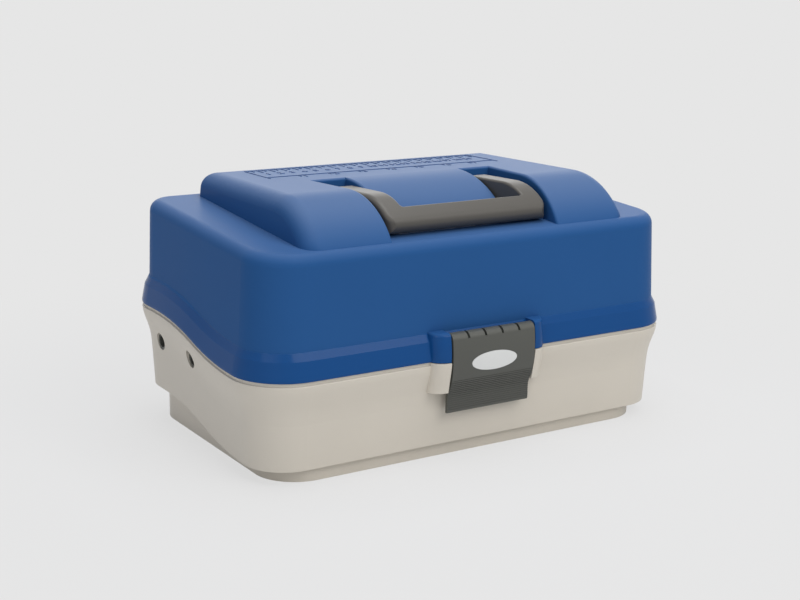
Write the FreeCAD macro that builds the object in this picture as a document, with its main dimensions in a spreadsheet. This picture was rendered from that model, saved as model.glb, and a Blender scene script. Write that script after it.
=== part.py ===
"""Two-tray fishing tackle box: hinged lid with folding handle and latch, cantilever trays.

Millimetres. +X runs along the length, the front faces -Y, +Z is up. The origin is the
centre of the box in plan, on the surface that the foot stands on.
"""
import FreeCAD, Part
import math
import os

import Sketcher

Vector = FreeCAD.Vector
Rotation = FreeCAD.Rotation
Placement = FreeCAD.Placement

X_AXIS = Vector(1, 0, 0)
Z_AXIS = Vector(0, 0, 1)
REACH = 400.0
BADGE_THICK = 0.7
HEAD_THICK = 1.2
LID_KNUCKLE, KNUCKLE_PLAY = 12.0, 0.4
SIDES = {"left": -1, "right": 1}

doc = FreeCAD.newDocument("tackle_box")
sheet = doc.addObject("Spreadsheet::Sheet", "Sizes")

# Driving dimensions: alias, value, meaning
SIZES = [
    ("lip_length", 360, "length over the lips at the seam"),
    ("lip_depth", 222, "depth over the lips at the seam"),
    ("lip_corner", 39, "plan corner radius of the lips"),
    ("skin", 2.5, "moulded wall thickness"),
    ("seam_gap", 0.4, "gap between the lips of lid and tub"),
    ("seam_front", 73.6, "seam height along the front"),
    ("seam_back", 91, "seam height along the back"),
    ("seam_rise_start", -72, "where the seam starts to climb on the sides"),
    ("seam_rise_end", 58, "where the seam is level again"),
    ("groove_depth", 1.6, "depth of the groove under the seam"),
    ("groove_height", 2.1, "height of the groove under the seam"),
    ("tub_wall_drop", 63.3, "depth of the step above the foot under the seam"),
    ("tub_flare", 31, "height of the flare under the tub's lip"),
    ("tub_inset_high", 6.35, "tub wall inset from the lip under the flare"),
    ("tub_inset_low", 8.1, "tub wall inset from the lip at the step"),
    ("foot_length", 322, "length of the foot"),
    ("foot_front", -98, "front edge of the foot"),
    ("foot_back", 102.4, "back edge of the foot"),
    ("foot_corner", 31, "plan corner radius of the foot"),
    ("band_height", 19.3, "height of the flared band above the lid's lip"),
    ("band_bevel", 14, "height at which the band's bevel starts"),
    ("band_inset", 2.3, "inset of the band at its bevel"),
    ("lid_inset_low", 5.2, "lid wall inset from the lip above the band"),
    ("lid_inset_high", 8.4, "lid wall inset from the lip at the shoulder"),
    ("lid_back_inset", 17, "inset of the lid's back wall at the shoulder"),
    ("lid_back_corner", 18, "plan radius of the lid's back corners at the shoulder"),
    ("shelf_height", 162.9, "height of the lid's shelf above the origin"),
    ("shelf_slope", 0.062, "rise of the shelf towards the back"),
    ("shoulder_round", 8.5, "fillet of the lid's shoulder"),
    ("dome_half_front", 136.5, "half length of the dome at its front foot"),
    ("dome_half_back", 131.5, "half length of the dome at its back foot"),
    ("dome_front", -98, "front foot of the dome"),
    ("dome_back", 84.5, "back foot of the dome"),
    ("dome_corner", 14, "plan radius of the dome's front corners"),
    ("dome_curve_y", -45.5, "centre of the dome's front curve"),
    ("dome_curve_z", 129.7, "centre of the dome's front curve"),
    ("dome_radius", 57.3, "radius of the dome's front curve"),
    ("dome_slope", -0.01, "rise of the dome's top towards the back"),
    ("dome_round", 12, "fillet of the dome's upper edges"),
    ("dome_edge", 5, "fillet of the dome's upright back edges"),
    ("channel_half_back", 78, "half width over the handle channels at the back"),
    ("channel_half_front", 70, "half width over the handle recess at the front"),
    ("channel_back", 2, "back wall of the handle channels"),
    ("channel_round", 2, "fillet along the handle channels"),
    ("lobe_half", 50.5, "half width of the raised lobe between the channels"),
    ("lobe_curve_z", 100, "centre height of the lobe's curve"),
    ("handle_pivot_y", -12, "handle pivot"),
    ("handle_pivot_z", 175, "handle pivot"),
    ("handle_half_out", 68.5, "half width over the handle's arms"),
    ("handle_half_in", 51.5, "half width between the handle's arms"),
    ("handle_curve_y", -52.1, "centre of the handle's curve"),
    ("handle_curve_z", 135.9, "centre of the handle's curve"),
    ("handle_radius", 48, "radius of the handle's curve"),
    ("handle_nose", 7, "radius of the grip's round nose"),
    ("handle_under", 159.3, "underside of the grip"),
    ("handle_window", -75, "back of the handle's grip"),
    ("handle_stud_radius", 4, "moulded pivot studs of the handle"),
    ("latch_half", 35, "half width of the latch plate"),
    ("latch_pivot_y", -113, "latch pin"),
    ("latch_pivot_z", 88, "latch pin"),
    ("latch_barrel", 5.35, "radius of the latch's rolled top"),
    ("latch_pin_radius", 1.5, "steel pin of the latch"),
    ("latch_pin_half", 38.5, "half length of the latch pin"),
    ("latch_low", 35.4, "lower edge of the latch plate"),
    ("cheek_half_in", 36, "half width of the recess that holds the latch"),
    ("cheek_half_out", 48, "half width over the latch cheeks"),
    ("cheek_low", 51, "underside of the tub's latch cheeks"),
    ("hinge_y", 115, "lid hinge axis"),
    ("knuckle_radius", 5, "hinge knuckles"),
    ("hinge_pin_radius", 2, "hinge pins"),
    ("hinge_place", 100, "centre of each hinge from the middle"),
    ("knuckle_length", 15, "length of the tub's knuckle"),
    ("arm_back_y", 59.3, "back arm pivot in the tub's end wall"),
    ("arm_front_y", 4.9, "front arm pivot in the tub's end wall"),
    ("arm_pivot_z", 65.6, "height of the arm pivots"),
    ("arm_step", 34, "distance from pivot to lower tray, and on to the upper one"),
    ("arm_angle", 30, "rise of the closed arms towards the front"),
    ("arm_width", 14, "width of the arms"),
    ("arm_thick", 3.5, "thickness of the arms"),
    ("arm_inner_x", 161.8, "inner face of the arms"),
    ("stud_hole_radius", 6.5, "holes for the arm studs in the tub's end walls"),
    ("stud_radius", 6.45, "moulded studs of the arms"),
    ("stud_bore_radius", 4.6, "hollow of the arm studs"),
    ("stud_shoulder_x", 170.6, "shoulder of the arm studs"),
    ("stud_end_x", 173.2, "outer end of the arm studs"),
    ("tray_half", 161.4, "half length of the trays"),
    ("tray_front", -94, "front of the closed trays"),
    ("tray_back", 52, "back of the closed trays"),
    ("tray_corner", 14, "plan corner radius of the trays"),
    ("tray_wall", 2, "wall and floor of the trays"),
    ("lower_tray_z", 58, "underside of the lower tray"),
    ("lower_tray_height", 30, "height of the lower tray"),
    ("lower_tray_split", 5, "rib that divides the lower tray lengthwise"),
    ("upper_tray_z", 91, "underside of the upper tray"),
    ("upper_tray_height", 31, "height of the upper tray"),
    ("upper_tray_split", -22, "rib that divides the upper tray lengthwise"),
    ("divider_thick", 1.6, "removable dividers"),
    ("rivet_radius", 2.5, "tray rivets"),
    ("rivet_clearance", 0.05, "running clearance of the rivets"),
    ("rivet_head", 4, "head radius of the rivets"),
    ("link_thick", 3, "thickness of the lid links"),
    ("link_width", 11, "width of the lid links"),
    ("badge_half", 19.2, "half width of the oval badge"),
    ("badge_height", 13.6, "height of the oval badge"),
    ("badge_z", 71, "centre height of the badge"),
]

for row, (alias, value, meaning) in enumerate(SIZES, start=1):
    sheet.set(f"A{row}", alias)
    sheet.set(f"B{row}", str(value))
    sheet.set(f"C{row}", meaning)
    sheet.setAlias(f"B{row}", alias)
doc.recompute()


def size(alias):
    """Value of a driving dimension, for the shapes that are set in code."""
    return float(sheet.get(alias))


half_x = size("lip_length") / 2
half_y = size("lip_depth") / 2
skin = size("skin")

# Hinge, pivots and link geometry that follow from the driving dimensions
hinge_z = size("seam_back")
link_dy = size("hinge_y") - size("arm_back_y")
link_dz = hinge_z - size("arm_pivot_z")
arm_dy = -math.cos(math.radians(size("arm_angle")))
arm_dz = math.sin(math.radians(size("arm_angle")))


def arm_point(pivot_y, steps):
    """Y and Z of the tray pin that is a number of steps up a closed arm."""
    reach = steps * size("arm_step")
    return pivot_y + reach * arm_dy, size("arm_pivot_z") + reach * arm_dz


# Shapes set in code: outlines and solids that both mouldings need

def face_from(points):
    """Flat face with straight sides through the points."""
    return Part.Face(Part.makePolygon(list(points) + [points[0]]))


def side_profile(points, x_from, x_to):
    """Solid with a constant outline of (y, z) points between two X planes."""
    face = face_from([Vector(x_from, y, z) for y, z in points])
    return face.extrude(Vector(x_to - x_from, 0, 0))


def chain(place, start, *stretches):
    """Joined edges from a start: a stretch of one point is a line, of two an arc, else a curve."""
    edges = []
    for stretch in stretches:
        stops = [place(*p) for p in (start, *stretch)]
        if len(stops) == 2:
            edges.append(Part.LineSegment(*stops).toShape())
        elif len(stops) == 3:
            edges.append(Part.Arc(*stops).toShape())
        else:
            curve = Part.BSplineCurve()
            curve.interpolate(stops)
            edges.append(curve.toShape())
        start = stretch[-1]
    return edges


def curved_profile(x_from, x_to, start, *stretches):
    """Solid between two X planes with an outline of lines, arcs and curves in (y, z)."""
    edges = chain(lambda y, z: Vector(x_from, y, z), start, *stretches)
    return Part.Face(Part.Wire(edges)).extrude(Vector(x_to - x_from, 0, 0))


def level(z, low, high):
    """Value at height z on the straight line through two (height, value) points."""
    return low[1] + (high[1] - low[1]) * (z - low[0]) / (high[0] - low[0])


def rounded_outline(corners, z):
    """Closed wire at height z with a round, or none, at each corner of (x, y, radius)."""
    rounds = []
    for i, (x, y, radius) in enumerate(corners):
        here = Vector(x, y, z)
        if radius == 0:
            rounds.append((here, None, here))
            continue
        before = Vector(*corners[i - 1][:2], z)
        after = Vector(*corners[(i + 1) % len(corners)][:2], z)
        to_before = (before - here).normalize()
        to_after = (after - here).normalize()
        half_angle = to_before.getAngle(to_after) / 2
        inwards = (to_before + to_after).normalize()
        middle = here + inwards * (radius / math.sin(half_angle) - radius)
        reach = radius / math.tan(half_angle)
        rounds.append((here + to_before * reach, middle, here + to_after * reach))
    edges = []
    for i, (begin, middle, end) in enumerate(rounds):
        edges.append(Part.LineSegment(rounds[i - 1][2], begin).toShape())
        if middle:
            edges.append(Part.Arc(begin, middle, end).toShape())
    return Part.Wire(edges)


def rounded_rectangle(half_width, y_front, y_back, radius, z, back_radius=None):
    """Closed wire at height z with rounded corners, the back ones with a radius of their own."""
    at_back = radius if back_radius is None else back_radius
    return rounded_outline([
        (half_width, y_back, at_back), (-half_width, y_back, at_back),
        (-half_width, y_front, radius), (half_width, y_front, radius)], z)


def seam_height(y):
    """Height of the seam at y: level, an S of two tangent arcs, level."""
    start, end = size("seam_rise_start"), size("seam_rise_end")
    low, high = size("seam_front"), size("seam_back")
    run, rise = end - start, high - low
    radius = (run ** 2 + rise ** 2) / (4 * rise)
    if y <= start:
        return low
    if y >= end:
        return high
    if y <= (start + end) / 2:
        return low + radius - math.sqrt(radius ** 2 - (y - start) ** 2)
    return high - radius + math.sqrt(radius ** 2 - (end - y) ** 2)


def seam_arcs(x, shift):
    """The two arcs of the seam's climb at one X, from front to back."""
    start, end = size("seam_rise_start"), size("seam_rise_end")
    middle = (start + end) / 2
    arcs = []
    for a, b in ((start, middle), (middle, end)):
        stops = [Vector(x, y, seam_height(y) + shift) for y in (a, (a + b) / 2, b)]
        arcs.append(Part.Arc(*stops).toShape())
    return arcs


def seam_block(shift, level):
    """Solid between the seam surface, raised by shift, and a level plane."""
    arcs = seam_arcs(-REACH, shift)
    front = arcs[0].firstVertex().Point
    back = arcs[1].lastVertex().Point
    path = [
        back,
        Vector(-REACH, REACH, back.z),
        Vector(-REACH, REACH, level),
        Vector(-REACH, -REACH, level),
        Vector(-REACH, -REACH, front.z),
        front,
    ]
    lines = [Part.LineSegment(a, b).toShape() for a, b in zip(path, path[1:])]
    face = Part.Face(Part.Wire(arcs + lines))
    return face.extrude(Vector(2 * REACH, 0, 0))


def seam_path():
    """Closed line of the lips round the box, from the middle of the front."""
    r = size("lip_corner")
    low, high = size("seam_front"), size("seam_back")
    far = r * math.sqrt(0.5)
    cx, cy = half_x - r, half_y - r
    rise_start, rise_end = size("seam_rise_start"), size("seam_rise_end")
    middle = Vector(0, -half_y, low)
    edges = [
        Part.LineSegment(middle, Vector(cx, -half_y, low)).toShape(),
        Part.Arc(Vector(cx, -half_y, low), Vector(cx + far, -cy - far, low),
                 Vector(half_x, -cy, low)).toShape(),
    ]
    edges += seam_arcs(half_x, 0)
    edges += [
        Part.LineSegment(Vector(half_x, rise_end, high), Vector(half_x, cy, high)).toShape(),
        Part.Arc(Vector(half_x, cy, high), Vector(cx + far, cy + far, high),
                 Vector(cx, half_y, high)).toShape(),
        Part.LineSegment(Vector(cx, half_y, high), Vector(-cx, half_y, high)).toShape(),
        Part.Arc(Vector(-cx, half_y, high), Vector(-cx - far, cy + far, high),
                 Vector(-half_x, cy, high)).toShape(),
        Part.LineSegment(Vector(-half_x, cy, high), Vector(-half_x, rise_end, high)).toShape(),
    ]
    edges += seam_arcs(-half_x, 0)[::-1]
    edges += [
        Part.Arc(Vector(-half_x, -cy, low), Vector(-cx - far, -cy - far, low),
                 Vector(-cx, -half_y, low)).toShape(),
        Part.LineSegment(Vector(-cx, -half_y, low), middle).toShape(),
    ]
    if rise_start != -cy:
        raise ValueError("the climb starts where the front corner ends")
    return Part.Wire(Part.sortEdges(edges)[0])


def lip_ring(start, *stretches):
    """Ring that follows the lips, with a closed outline of (inset, height) stretches."""
    def place(inset, height):
        return Vector(0, -half_y + inset, size("seam_front") + height)

    shell = Part.BRepOffsetAPI.MakePipeShell(seam_path())
    shell.setBiNormalMode(Z_AXIS)
    shell.add(Part.Wire(chain(place, start, *stretches)))
    shell.build()
    shell.makeSolid()
    return shell.shape()


def largest_solid(shape):
    """The main solid of a boolean result."""
    return max(shape.Solids, key=lambda solid: solid.Volume)


def cylinder_x(radius, x_from, x_to, y, z):
    """Round bar along X."""
    return Part.makeCylinder(radius, x_to - x_from, Vector(x_from, y, z), X_AXIS)


# Tub

def foot_block(inward, base):
    """Foot of the tub from a base height upwards, drawn in by a wall thickness or by nothing."""
    half = size("foot_length") / 2 - inward
    front, back = size("foot_front") + inward, size("foot_back") - inward
    corner = size("foot_corner") - inward
    inside_tub = 60.0
    outline = Part.Face(rounded_rectangle(half, front, back, corner, base))
    return outline.extrude(Vector(0, 0, inside_tub - base))


def flare_points(inward):
    """Points of the tub's flare, (inset, height) from the lip down to the wall."""
    end = (size("tub_inset_high"), -size("tub_flare"))
    shape = ((0.15, 0.26), (0.45, 0.45), (0.725, 0.63), (0.9, 0.81))
    return [(share * end[0] + inward, drop * end[1]) for share, drop in shape] + [
        (end[0] + inward, end[1])]


def tub_wall():
    """Wall of the tub: a groove under the seam, the flare, the upright wall and the step."""
    top = -size("seam_gap") / 2
    groove, groove_low = size("groove_depth"), -size("groove_height")
    floor, step_in = -size("tub_wall_drop"), 24.0
    low = size("tub_inset_low")
    inner_lip = groove + 0.9 * skin
    inner_flare = flare_points(skin)
    # Eased edge between the groove and the flare
    edge_in, edge_drop = 0.35, 0.4
    eased = [[(edge_in, groove_low - edge_drop)], [(0.4 * edge_in, groove_low - 2 * edge_drop)]]
    return lip_ring(
        (inner_lip, top), [(groove, top)], [(groove, groove_low)], *eased,
        flare_points(0.0), [(low, floor)], [(step_in, floor)],
        [(step_in, floor + skin)], [(low + skin, floor + skin)], [inner_flare[-1]],
        inner_flare[-2::-1], [(inner_lip, top)])


def outside_tub():
    """Space outside the middle of the tub's wall, to trim what stands on the wall."""
    far, middle = -30.0, 0.5 * skin
    line = flare_points(middle)
    return lip_ring((far, 0), [(far, line[-1][1])], [line[-1]], line[-2::-1],
                    [(size("groove_depth") + middle, 0)], [(far, 0)])


def cheek(side, z_from, z_to, set_back):
    """Cheek beside the latch that bulges towards it, cut to a range of heights."""
    # Outline points are (y, z): under, front curve from below, rounded top
    near = [(-114.8, 50.0), (-117.2, 62.0), (-118.9, 73.0), (-118.9, 83.0), (-117.8, 90.5)]
    near_top = [(-116.9, 93.1), (-114.6, 94.0)]
    far = [(-105.0, 50.0), (-107.6, 62.0), (-109.9, 73.0), (-109.6, 83.0), (-107.4, 90.5)]
    far_top = [(-106.4, 93.1), (-105.4, 94.0)]
    inside_y = -103.0
    start, end = size("cheek_half_in"), size("cheek_half_out")
    wires = []
    for share in (0.0, 0.35, 0.7, 0.92, 1.0):
        bulge = math.sqrt(1 - share ** 2)
        x = side * (start + share * (end - start))
        front, crown = ([(b[0] + bulge * (a[0] - b[0]) + set_back, a[1]) for a, b in zip(*pair)]
                        for pair in ((near, far), (near_top, far_top)))
        wires.append(Part.Wire(chain(
            lambda y, z: Vector(x, y, z), (inside_y, front[0][1]), [front[0]], front[1:],
            crown, [(inside_y, crown[-1][1])], [(inside_y, front[0][1])])))
    block = Part.makeLoft(wires, True, False)
    keep = Part.makeBox(2 * REACH, REACH, z_to - z_from, Vector(-REACH, -REACH, z_from))
    return block.common(keep)


def hinge_knuckle(x_from, x_to, tab_low, tab_high):
    """Knuckle round the hinge axis with a tab that reaches the moulding's lip."""
    y = size("hinge_y")
    barrel = cylinder_x(size("knuckle_radius"), x_from, x_to, y, hinge_z)
    tab = side_profile([(half_y - 5, tab_low), (y, tab_low), (y, tab_high),
                        (half_y - 5, tab_high)], x_from, x_to)
    return barrel.fuse(tab)


def knuckle_spans(part):
    """X ranges of the hinge knuckles that belong to the tub or to the lid."""
    half = size("knuckle_length") / 2
    spans = []
    for side in SIDES.values():
        x = side * size("hinge_place")
        if part == "tub":
            spans.append((x - half, x + half))
        else:
            near, far = half + KNUCKLE_PLAY, half + KNUCKLE_PLAY + LID_KNUCKLE
            spans += [(x - far, x - near), (x + near, x + far)]
    return spans


def knuckle_relief(part):
    """Room in the other moulding's lip for the knuckles of a part to turn."""
    radius, play = size("knuckle_radius") + 0.4, 0.3
    bars = [cylinder_x(radius, a - play, b + play, size("hinge_y"), hinge_z)
            for a, b in knuckle_spans(part)]
    return Part.makeCompound(bars)


def build_tub():
    """Tub: moulded shell with flare, foot, arm holes, latch keeper and hinge knuckles."""
    room = foot_block(skin, skin)
    under_step = seam_block(1.0 - size("tub_wall_drop"), -REACH)
    foot = foot_block(0.0, 0.0).common(under_step).cut(room)
    shell = tub_wall().cut(room).fuse(foot)
    seam = size("seam_front") - size("seam_gap") / 2
    half = size("cheek_half_in")
    # Keeper bar that the latch's nose snaps under
    fittings = [side_profile([(-104.5, 62.0), (-109.5, 62.0), (-112.4, 65.0), (-112.4, 66.5),
                              (-108.5, 69.5), (-105.0, 69.5)], -half, half)]
    fittings += [cheek(side, size("cheek_low"), seam, 0.0) for side in SIDES.values()]
    fittings += [hinge_knuckle(a, b, hinge_z - 8, hinge_z - 0.2) for a, b in knuckle_spans("tub")]
    outside = outside_tub()
    shell = shell.fuse([fitting.common(outside) for fitting in fittings])
    shell = shell.cut(knuckle_relief("lid"))
    bore = size("hinge_pin_radius") + 0.05
    shell = shell.cut(cylinder_x(bore, -half_x, half_x, size("hinge_y"), hinge_z))
    for y in (size("arm_back_y"), size("arm_front_y")):
        shell = shell.cut(cylinder_x(size("stud_hole_radius"), -REACH, REACH,
                                     y, size("arm_pivot_z")))
    return largest_solid(shell)


# Lid

def shelf_cutter(drop):
    """Everything above the sloping shelf, lowered by drop."""
    height, slope = size("shelf_height") - drop, size("shelf_slope")
    return side_profile([(-REACH, height - slope * REACH), (REACH, height + slope * REACH),
                         (REACH, REACH), (-REACH, REACH)], -REACH, REACH)


def lid_wall(inward):
    """Lid block under the shelf: steep front and ends, a back that leans in, a round shoulder."""
    # Heights at which the wall's insets are given
    front_low, front_high = 92.9, 165.0
    back_low = size("seam_back") + size("band_height")
    back_high = size("shelf_height") + size("shelf_slope") * (half_y - size("lid_back_inset"))
    back_start = size("lid_inset_low") + 0.6
    wires = []
    for z in (60.0 - inward, 190.0):
        inset = level(z, (front_low, size("lid_inset_low")), (front_high, size("lid_inset_high")))
        back = level(z, (back_low, back_start), (back_high, size("lid_back_inset")))
        back_corner = level(z, (back_low, size("lip_corner") - back_start),
                            (back_high, size("lid_back_corner")))
        wires.append(rounded_rectangle(
            half_x - inset - inward, -half_y + inset + inward, half_y - back - inward,
            size("lip_corner") - inset - inward, z, back_corner - inward))
    block = Part.makeLoft(wires, True, True).cut(shelf_cutter(inward))
    shelf, slope_y = size("shelf_height") - inward, size("shelf_slope")
    rim = [edge for edge in block.Edges
           if all(abs(v.Z - shelf - slope_y * v.Y) < 1e-3 for v in edge.Vertexes)]
    return block.makeFillet(size("shoulder_round") - inward, rim)


def barrel(x_half, y, z, radius, slope, back):
    """Bar along X: round from its front up to its top, then a top that slopes to the back."""
    turn = radius * math.sqrt(0.5)
    normal = math.hypot(1, slope)
    crest = (y - radius * slope / normal, z + radius / normal)
    return curved_profile(
        -x_half, x_half, (y - radius, z), [(y - turn, z + turn), crest],
        [(back, barrel_top(back, y, z, radius, slope))], [(back, z)], [(y - radius, z)])


def barrel_top(y, centre_y, centre_z, radius, slope):
    """Height of a barrel's upper surface at y."""
    run, normal = y - centre_y, math.hypot(1, slope)
    if run > -radius * slope / normal:
        return centre_z + slope * run + radius * normal
    return centre_z + math.sqrt(max(0.0, radius ** 2 - run ** 2))


def dome_curve():
    """Centre, radius and slope of the dome's upper surface."""
    return (size("dome_curve_y"), size("dome_curve_z"), size("dome_radius"), size("dome_slope"))


def crest_edges(shape, curve, y_from=-REACH, y_to=REACH):
    """Edges of a shape that lie on a barrel's upper surface, over a range of y."""
    lowest = size("dome_curve_z") + 20

    def on_top(point):
        return point.z > lowest and abs(point.z - barrel_top(point.y, *curve)) < 0.02

    return [edge for edge in shape.Edges
            if y_from < middle_of(edge).y < y_to
            and all(map(on_top, [middle_of(edge)] + [v.Point for v in edge.Vertexes]))]


def middle_of(edge):
    """Point halfway along an edge."""
    return edge.valueAt((edge.FirstParameter + edge.LastParameter) / 2)


def dome(inward):
    """Raised part of the lid: round front, nearly level top, steep ends and back."""
    y, z, radius, slope = dome_curve()
    curve = (y, z, radius - inward, slope)
    foot_z, end_lean, back_lean = 163.0, math.radians(3), math.radians(7.5)
    block_low, block_high = 120.0, 200.0
    corner = size("dome_corner") - inward
    front = size("dome_front") + inward
    wires = []
    for height in (block_low, block_high):
        draw = math.tan(end_lean) * (height - foot_z) + inward
        near, far = size("dome_half_front") - draw, size("dome_half_back") - draw
        back = size("dome_back") - math.tan(back_lean) * (height - foot_z) - inward
        wires.append(rounded_outline([(far, back, 0), (-far, back, 0),
                                      (-near, front, corner), (near, front, corner)], height))
    block = barrel(REACH, *curve, half_y).common(Part.makeLoft(wires, True, True))
    rim = [edge for edge in crest_edges(block, curve) if not is_across(edge)]
    block = block.makeFillet(size("dome_round") - inward, rim)
    upright = [edge for edge in block.Edges if is_upright_at_back(edge)]
    return block.makeFillet(size("dome_edge") - inward, upright)


def is_upright_at_back(edge):
    """Whether an edge of the dome runs up one of its back corners."""
    heights = [v.Z for v in edge.Vertexes]
    at_corner = (middle_of(edge).y > size("dome_back") - 2 * size("dome_round")
                 and abs(middle_of(edge).x) > size("dome_half_back") - 2 * size("dome_round"))
    return (at_corner and max(heights) - min(heights) > 3
            and not isinstance(edge.Curve, Part.Circle))


def is_across(edge):
    """Whether an edge is the smooth line where a barrel's curve meets its top."""
    return (abs(middle_of(edge).x) < 1e-3
            and abs(middle_of(edge).y - size("dome_curve_y")) < 1)


def lobe_curve(outward):
    """Centre and radius of the lobe's upper surface, level with the dome at its back."""
    crown = barrel_top(size("channel_back"), *dome_curve())
    low = size("lobe_curve_z")
    return (size("channel_back"), low, crown - low - outward)


def handle_channels(outward):
    """Space cut in the dome for the handle: a recess that leaves the middle lobe standing."""
    back, front = size("channel_back") + outward, -130.0
    low, tall = 100.0, 150.0
    half_back = size("channel_half_back") + outward
    taper = (size("channel_half_back") - size("channel_half_front")) / (
        size("channel_back") - size("dome_front"))
    half_front = half_back - taper * (back - front)
    plan = face_from([Vector(-half_back, back, low), Vector(half_back, back, low),
                      Vector(half_front, front, low), Vector(-half_front, front, low)])
    room = plan.extrude(Vector(0, 0, tall)).common(shelf_cutter(outward))
    lobe = barrel(size("lobe_half") - outward, *lobe_curve(outward), 0.0, back + 10)
    return room.cut(lobe)


def soften_channels(raised):
    """Round the dome's and the lobe's edges along the handle channels."""
    width = (size("lobe_half") - 0.1, size("channel_half_back") + 0.1)
    beside = [edge for edge in raised.Edges
              if width[0] < abs(middle_of(edge).x) < width[1]
              and middle_of(edge).y < size("channel_back") + 0.1]
    rim = []
    for curve in (dome_curve(), (*lobe_curve(0.0), 0.0)):
        touching = crest_edges(Part.makeCompound(beside), curve)
        rim += [edge for edge in touching if not any(edge.isSame(other) for other in rim)]
    return raised.makeFillet(size("channel_round"), rim)


def lid_form(inward):
    """Outer form of the lid above its band, or the room inside it."""
    raised = dome(inward).cut(handle_channels(inward))
    if inward == 0:
        raised = soften_channels(raised)
    return lid_wall(inward).fuse(raised)


def lid_band():
    """Flared glossy band above the lid's lip, one wall thick."""
    low = size("seam_gap") / 2
    bevel, inset = size("band_bevel"), size("band_inset")
    run = (size("lid_inset_low") - inset) / (size("band_height") - bevel)
    top = size("band_height") + 2.0
    deep = inset + run * (top - bevel)
    return lip_ring(
        (0.4, low), [(0.0, low + 0.5)], [(0.0, low + 2.0)], [(inset, bevel)], [(deep, top)],
        [(size("lid_inset_low") + skin, top)], [(inset + skin, bevel)], [(0.4 + skin, low)],
        [(0.4, low)])


def build_lid():
    """Lid: moulded shell with band, dome, handle channels, latch cheeks and knuckles."""
    over_band = seam_block(size("band_height") - 1.0, REACH)
    inside = lid_form(skin)
    shell = lid_form(0.0).common(over_band).cut(inside)
    shell = shell.fuse(lid_band())
    seam = size("seam_front") + size("seam_gap") / 2
    cheek_set_back = 0.7
    for side in SIDES.values():
        shell = shell.fuse(cheek(side, seam, REACH, cheek_set_back))
    for x_from, x_to in knuckle_spans("lid"):
        shell = shell.fuse(hinge_knuckle(x_from, x_to, hinge_z + 0.2, hinge_z + 8))
    shell = shell.cut(knuckle_relief("tub"))
    shell = shell.cut(inside.common(over_band))
    bore = size("hinge_pin_radius") + 0.05
    shell = shell.cut(cylinder_x(bore, -half_x, half_x, size("hinge_y"), hinge_z))
    # Hollow for the latch's roll, and blind bores for its pin in the cheeks
    y, z = size("latch_pivot_y"), size("latch_pivot_z")
    half, pin_half = size("cheek_half_in"), size("latch_pin_half") + 0.5
    shell = shell.cut(cylinder_x(size("latch_barrel") + 0.35, -half, half, y, z))
    shell = shell.cut(cylinder_x(size("latch_pin_radius"), -pin_half, pin_half, y, z))
    stud = size("handle_stud_radius") + 0.05
    lobe = size("lobe_half")
    shell = shell.cut(cylinder_x(stud, -lobe - 1, lobe + 1, size("handle_pivot_y"),
                                 size("handle_pivot_z")))
    # Bosses inside the ends for the rivets of the lid links
    y, z = link_pivot_on_lid()
    boss_radius, boss_from, boss_to = 6.0, 169.0, half_x - size("lid_inset_low") - 3.0
    for side in SIDES.values():
        ends = sorted((side * boss_from, side * boss_to))
        shell = shell.fuse(cylinder_x(boss_radius, ends[0], ends[1], y, z))
        hole = sorted((side * (boss_from - 1), side * (link_rivet_end() + 0.2)))
        shell = shell.cut(cylinder_x(size("rivet_radius"), hole[0], hole[1], y, z))
    return largest_solid(shell)


def link_rivet_end():
    """Blind end of the link rivets, inside the lid's end wall."""
    return half_x - size("lid_inset_high") + 0.4


def link_pivot_on_lid():
    """Y and Z of the pivot that joins each lid link to the lid."""
    y, z = arm_point(size("arm_back_y"), 2)
    return y + link_dy, z + link_dz


# Handle and latch

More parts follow.
